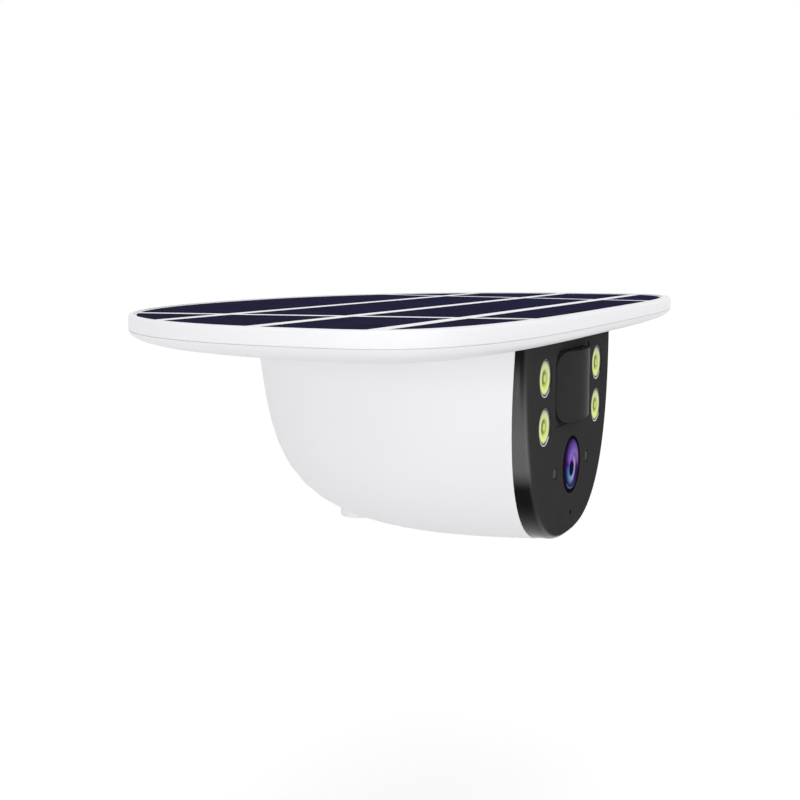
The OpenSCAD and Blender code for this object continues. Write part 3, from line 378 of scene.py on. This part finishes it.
def lens_finish(name):
    """The coated front element: painted reflections of the coating turn round the painted shade of a dark
    pupil, with painted shade at the edge and a painted reflection as a pale arc below.
    """
    finish = Finish(name)
    place = finish.split(finish.place)
    u = finish.over(finish.minus(place["X"], LENS_X), LENS_R)
    v = finish.over(finish.minus(place["Z"], LENS_Z), LENS_R)
    radius = finish.length(u, v)
    # painted reflections of the coating, by turn round the middle
    turn = finish.over(finish.math("ARCTAN2", v, u), 2 * math.pi)
    coat_reflection = finish.ramp(finish.math("ADD", turn, 0.5), LENS_COAT_REFLECTIONS)
    # painted reflection: a lilac band in the upper half of the lens
    reflected_band = finish.times(finish.step(radius, *BAND_INNER), finish.step(radius, *BAND_OUTER))
    high = finish.step(v, *BAND_HIGH)
    painted = finish.mix(finish.times(reflected_band, high, BAND_SHARE), coat_reflection, LILAC_REFLECTION)
    pupil_u = finish.minus(u, PUPIL_SIDE)
    pupil_v = finish.times(finish.minus(v, PUPIL_UP), PUPIL_FLAT)
    pupil = finish.length(pupil_u, pupil_v)
    # painted reflection: a pink glint round the pupil, on its right side
    glow = finish.times(finish.step(pupil, *GLOW_INNER), finish.step(pupil, *GLOW_OUTER))
    side = finish.step(finish.minus(pupil_u, finish.times(pupil_v, GLOW_SLANT)), *GLOW_SIDE)
    painted = finish.mix(finish.times(glow, side), painted, PINK_REFLECTION)
    # painted shade: the dark pupil
    painted = finish.mix(finish.step(pupil, *PUPIL_EDGE), painted, PUPIL_SHADE_BLUE)
    shade = finish.length(finish.minus(u, SHADE_SIDE), finish.minus(v, SHADE_UP))
    painted = finish.mix(finish.step(shade, *SHADE_EDGE), painted, SHADE_PLUM)
    # painted reflection: a pale arc near the bottom of the edge
    arc = finish.times(finish.step(radius, *ARC_INNER), finish.step(radius, *ARC_OUTER))
    low = finish.step(v, *ARC_LOW)
    painted = finish.mix(finish.times(arc, low), painted, ARC_REFLECTION_GREY)
    finish.set(Base_Color=painted, Roughness=0.12, Specular_IOR_Level=0.0)
    return finish


def led_level(finish):
    """Height above the middle of the nearest LED lens."""
    up = finish.minus(finish.split(finish.place)["Z"], LED_Z)
    return finish.minus(up, finish.times(finish.math("SIGN", up), LED_HALF))


def led_finish(name):
    """LED lenses: a pale yellow-green disc with an olive ring round a bright middle, painted shade that
    greys its top and darkens its rim, and painted light that brightens its bottom.
    """
    finish = Finish(name)
    side = finish.minus(finish.size(finish.split(finish.place)["X"]), LED_X)
    level = led_level(finish)
    share = finish.over(finish.length(side, level), LED_R)
    # painted shade: the top of each lens turns greyer
    high = finish.times(finish.step(level, *LED_HIGH), LED_HIGH_SHARE)
    # painted light: the bottom of each lens turns brighter green
    low = finish.times(finish.step(level, *LED_LOW), finish.step(share, *LED_LOW_EDGE), LED_LOW_SHARE)
    disc = finish.mix(high, finish.ramp(share, LED_RINGS), LED_TOP_SHADE_GREY)
    disc = finish.mix(low, disc, LED_BOTTOM_LIGHT_GREEN)
    finish.set(Base_Color=disc, Roughness=0.2, Specular_IOR_Level=0.0)
    return finish


def bezel_finish(name):
    """Black moulded plastic: a fine grain on the face, painted shade on the sides, partly polished sides
    whose polish fades as painted shade under the dish, and painted shade round the microphone hole.
    """
    finish = tinted(name, (0.036, 0.036, 0.037), (0.042, 0.042, 0.043), patch=120, rough=0.48,
                    spread=0.06, grain=3000, depth=0.006 * MM, Specular_IOR_Level=0.0)
    place = finish.split(finish.place)
    normal = finish.split(finish.add("ShaderNodeTexCoord").outputs["Normal"])
    facing = finish.size(normal["Y"])
    # painted shade: the sides that turn away from the front are painted near black
    body = finish.mix(finish.step(facing, *BEZEL_SIDE), finish.colour(), BEZEL_SIDE_SHADE)
    from_mic = finish.length(finish.minus(place["X"], MIC_X), finish.minus(place["Z"], MIC_Z))
    # painted shade: a dark disc round the microphone hole
    mouth = finish.step(from_mic, *MOUTH_EDGE)
    finish.set(Base_Color=finish.mix(mouth, body, MOUTH_SHADE_BLACK))
    across = finish.math("SQRT", finish.minus(1.0, finish.times(facing, facing)))
    slope = finish.over(normal["Z"], finish.math("MAXIMUM", across, LEAST_DIVISOR))
    sloped = finish.math("ADD", finish.step(slope, *POLISH_UPRIGHT), finish.step(slope, *POLISH_UNDER))
    side = finish.step(facing, *POLISH_SIDE)
    # painted shade: the polish fades towards the top, under the dish
    below = finish.step(place["Z"], *POLISH_SHADE_FADE)
    polish = finish.times(side, finish.minus(1.0, mouth), sloped, below)
    finish.set(Coat_Weight=polish, Coat_Roughness=0.22, Coat_IOR=1.9)
    return finish


def reflector_finish(name):
    """Mirror cups painted dark as shade, but for a painted reflection as a pale crescent at the bottom of
    each.
    """
    # painted shade: the cups' dark tints
    finish = metal(name, (0.030, 0.033, 0.040), (0.050, 0.054, 0.062), rough=0.25)
    # painted reflection: the pale crescent at the bottom of each cup
    crescent = finish.step(led_level(finish), *CUP_LOW)
    finish.set(Base_Color=finish.mix(crescent, finish.colour(), CUP_REFLECTION_PALE))
    return finish


def shell_finish(name):
    """Stamped steel, with dark felt on the microphone and a black tongue in the charging socket."""
    finish = metal(name, (0.58, 0.58, 0.60), (0.70, 0.70, 0.71), rough=0.28, stretch=(1, 1, 6))
    place = finish.split(finish.place)
    felt = finish.step(place["Y"], *FELT_EDGE)
    across = finish.size(finish.minus(place["X"], PLUG_X))
    deep = finish.size(finish.minus(place["Y"], PLUG_Y))
    tongue = finish.times(finish.step(across, *TONGUE_X), finish.step(deep, *TONGUE_Y))
    dark = finish.math("MAXIMUM", felt, tongue)
    finish.set(Base_Color=finish.mix(dark, finish.colour(), INSERT_BLACK))
    return finish


def floor_finish(name):
    """Pale paint that glows, above all where the camera sees it."""
    finish = tinted(name, (0.74, 0.74, 0.74), (0.76, 0.76, 0.76), patch=3, rough=0.8,
                    spread=0.05, grain=40, depth=0.01 * MM, Specular_IOR_Level=0.0)
    place = finish.split(finish.place)
    far = finish.step(finish.length(place["X"], place["Y"]), 0, FLOOR_REACH)
    glow = finish.math("ADD", finish.times(far, FLOOR_FAR_GLOW - FLOOR_GLOW), FLOOR_GLOW)
    share = finish.math("MAXIMUM", shown_ray(finish.tree), FLOOR_BOUNCE)
    finish.set(Emission_Color=(1, 1, 1, 1), Emission_Strength=finish.times(share, glow))
    return finish


def make_finishes():
    """One finish for each material slot of the record."""
    all_finishes = [
        tinted("white_plastic", (0.855, 0.853, 0.875), (0.875, 0.873, 0.895), patch=30, rough=0.42,
               spread=0.04, grain=2200, depth=0.003 * MM, Specular_IOR_Level=0.3),
        tinted("panel_white", (0.90, 0.905, 0.92), (0.93, 0.935, 0.95), patch=45, rough=0.40,
               spread=0.05, grain=1800, depth=0.003 * MM, Specular_IOR_Level=0.05),
        tinted("seal_rubber", (0.030, 0.030, 0.031), (0.045, 0.045, 0.046), patch=300, rough=0.75,
               spread=0.08, grain=1500, depth=0.02 * MM),
        bezel_finish("black_plastic"),
        tinted("black_gloss", (0.004, 0.004, 0.005), (0.007, 0.007, 0.009), patch=200, rough=0.30,
               spread=0.03, grain=900, depth=0.001 * MM, Specular_IOR_Level=0.0),
        tinted("sensor_window", (0.031, 0.031, 0.032), (0.036, 0.036, 0.037), patch=150, rough=0.25,
               spread=0.04, grain=2600, depth=0.001 * MM, Specular_IOR_Level=0.003),
        tinted("chip_dark", (0.018, 0.018, 0.020), (0.032, 0.032, 0.036), patch=500, rough=0.55,
               spread=0.06, grain=2400, depth=0.01 * MM),
        tinted("board_green", (0.012, 0.105, 0.045), (0.020, 0.150, 0.065), patch=350, rough=0.40,
               spread=0.06, grain=700, depth=0.02 * MM),
        tinted("board_white", (0.70, 0.70, 0.67), (0.78, 0.78, 0.75), patch=350, rough=0.45,
               spread=0.06, grain=700, depth=0.02 * MM),
        tinted("emitter_yellow", (0.78, 0.62, 0.10), (0.86, 0.74, 0.20), patch=900, rough=0.40,
               spread=0.05, grain=3000, depth=0.01 * MM),
        tinted("pipe_smoke", (0.072, 0.072, 0.074), (0.088, 0.088, 0.090), patch=700, rough=0.30,
               spread=0.05, grain=1500, depth=0.002 * MM, Specular_IOR_Level=0.0),
        tinted("battery_wrap", (0.030, 0.110, 0.36), (0.045, 0.150, 0.44), patch=120, rough=0.30,
               spread=0.05, grain=600, depth=0.01 * MM),
        tinted("tray_dark", (0.070, 0.076, 0.088), (0.095, 0.101, 0.115), patch=150, rough=0.55,
               spread=0.06, grain=1800, depth=0.01 * MM),
        tinted("lead_red", (0.36, 0.018, 0.018), (0.44, 0.028, 0.026), patch=600, rough=0.50,
               spread=0.06, grain=1500, depth=0.01 * MM),
        tinted("button_grey", (0.20, 0.20, 0.21), (0.25, 0.25, 0.26), patch=500, rough=0.50,
               spread=0.06, grain=2000, depth=0.006 * MM),
        metal("screw_steel", (0.50, 0.50, 0.51), (0.62, 0.62, 0.63), rough=0.32),
        shell_finish("shell_steel"),
        metal("insert_brass", (0.62, 0.43, 0.16), (0.74, 0.55, 0.26), rough=0.30),
        metal("strip_copper", (0.62, 0.30, 0.17), (0.74, 0.40, 0.24), rough=0.35, stretch=(6, 1, 1)),
        reflector_finish("reflector_silver"),
        solar_finish("solar_navy"),
        lens_finish("lens_coated"),
        led_finish("led_clear"),
    ]
    return {finish.name: finish.material for finish in all_finishes}


def dress(node, material):
    """Gives a CAD node its finish and shades its round faces smooth."""
    mesh = node.data
    mesh.materials.clear()
    mesh.materials.append(material)
    if "custom_normal" in mesh.attributes:
        mesh.attributes.remove(mesh.attributes["custom_normal"])
    mesh.polygons.foreach_set("use_smooth", [True] * len(mesh.polygons))
    weld = node.modifiers.new("weld", "WELD")
    weld.merge_threshold = WELD
    split = node.modifiers.new("split", "EDGE_SPLIT")
    split.split_angle = math.radians(SOFT_ANGLE)
    split.use_edge_sharp = False


def put(thing):
    """Puts an object into the scene."""
    bpy.context.scene.collection.objects.link(thing)


def add_mesh(name, points, faces, material):
    """An object with a mesh and a material of its own."""
    mesh = bpy.data.meshes.new(name)
    mesh.from_pydata(points, [], faces)
    mesh.materials.append(material)
    piece = bpy.data.objects.new(name, mesh)
    put(piece)
    return piece


def ring_point(radius, i, z):
    """Point i of a ring round the axis of the bracket socket."""
    turn = 2 * math.pi * i / THREAD_TURN
    return radius * math.cos(turn), radius * math.sin(turn), z


def threaded_insert(material):
    """The brass insert with its quarter-inch thread, in place of the smooth one."""
    low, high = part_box("mount_insert")
    outer = (high.x - low.x) / 2
    levels = round((high.z - low.z) / THREAD_PITCH * THREAD_LEVELS)
    points = []
    for k in range(levels + 1):
        z = low.z + (high.z - low.z) * k / levels
        for i in range(THREAD_TURN):
            phase = ((z - low.z) / THREAD_PITCH - i / THREAD_TURN) % 1.0
            groove = 1 - abs(2 * phase - 1)
            points.append(ring_point(THREAD_CORE + (THREAD_CREST - THREAD_CORE) * groove, i, z))
    for z in (low.z, high.z):
        points += [ring_point(outer, i, z) for i in range(THREAD_TURN)]
    last = levels * THREAD_TURN
    bottom = last + THREAD_TURN
    top = bottom + THREAD_TURN
    faces = []
    for i in range(THREAD_TURN):
        j = (i + 1) % THREAD_TURN
        for a in range(0, last, THREAD_TURN):
            b = a + THREAD_TURN
            faces.append((a + j, a + i, b + i, b + j))
        faces.append((bottom + i, bottom + j, top + j, top + i))
        faces.append((i, j, bottom + j, bottom + i))
        faces.append((last + j, last + i, top + i, top + j))
    piece = add_mesh("threaded_insert", points, faces, material)
    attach(piece, "housing")
    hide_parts("mount_insert")


def soft_light(name, place, target, size, watts):
    """A square area lamp that looks at a point."""
    light = bpy.data.lights.new(name, "AREA")
    light.energy = watts
    light.size = size
    lamp = bpy.data.objects.new(name, light)
    lamp.location = place
    lamp.rotation_euler = (Vector(target) - Vector(place)).to_track_quat("-Z", "Y").to_euler()
    put(lamp)


def shown_ray(tree):
    """A share that is 1 for what the camera sees, straight, in a mirror or through glass."""
    path = tree.nodes.new("ShaderNodeLightPath")
    total = path.outputs["Is Camera Ray"]
    for name in ("Is Glossy Ray", "Is Transmission Ray"):
        node = tree.nodes.new("ShaderNodeMath")
        node.operation = "MAXIMUM"
        tree.links.new(total, node.inputs[0])
        tree.links.new(path.outputs[name], node.inputs[1])
        total = node.outputs[0]
    return total


def make_world():
    """White as a background, and less bright as a light."""
    world = bpy.data.worlds.new("studio")
    bpy.context.scene.world = world
    world.use_nodes = True
    tree = world.node_tree
    back = tree.nodes["Background"]
    back.inputs["Color"].default_value = (1, 1, 1, 1)
    level = tree.nodes.new("ShaderNodeMapRange")
    level.inputs["To Min"].default_value = WORLD_LIGHT
    level.inputs["To Max"].default_value = 1
    tree.links.new(shown_ray(tree), level.inputs["Value"])
    tree.links.new(level.outputs[0], back.inputs["Strength"])


def make_floor():
    """A level floor well below the part, which is held by its bracket socket."""
    level = cad_box[0].z - FLOOR_DROP
    half = FLOOR_SIZE / 2
    corners = [(-half, -half, level), (half, -half, level), (half, half, level), (-half, half, level)]
    floor = add_mesh("floor", corners, [(0, 1, 2, 3)], floor_finish("floor_paint").material)


def make_camera():
    """The camera of the photograph."""
    data = bpy.data.cameras.new("photo")
    data.lens = CAMERA_LENS
    data.sensor_width = CAMERA_SENSOR
    data.clip_start = CAMERA_NEAR
    data.clip_end = CAMERA_FAR
    camera = bpy.data.objects.new("photo", data)
    camera.location = CAMERA_PLACE
    camera.rotation_euler = (math.radians(90 - CAMERA_DOWN), 0, math.radians(CAMERA_TURN))
    put(camera)
    bpy.context.scene.camera = camera


make_camera()
make_world()
make_floor()
for lamp_values in LAMPS:
    soft_light(*lamp_values)
bpy.context.scene.view_settings.view_transform = "Standard"

finishes = make_finishes()
for part in frame["record"]["subparts"]:
    dress(nodes[part["node"]], finishes[part["material_slot"]])
threaded_insert(finishes["insert_brass"])
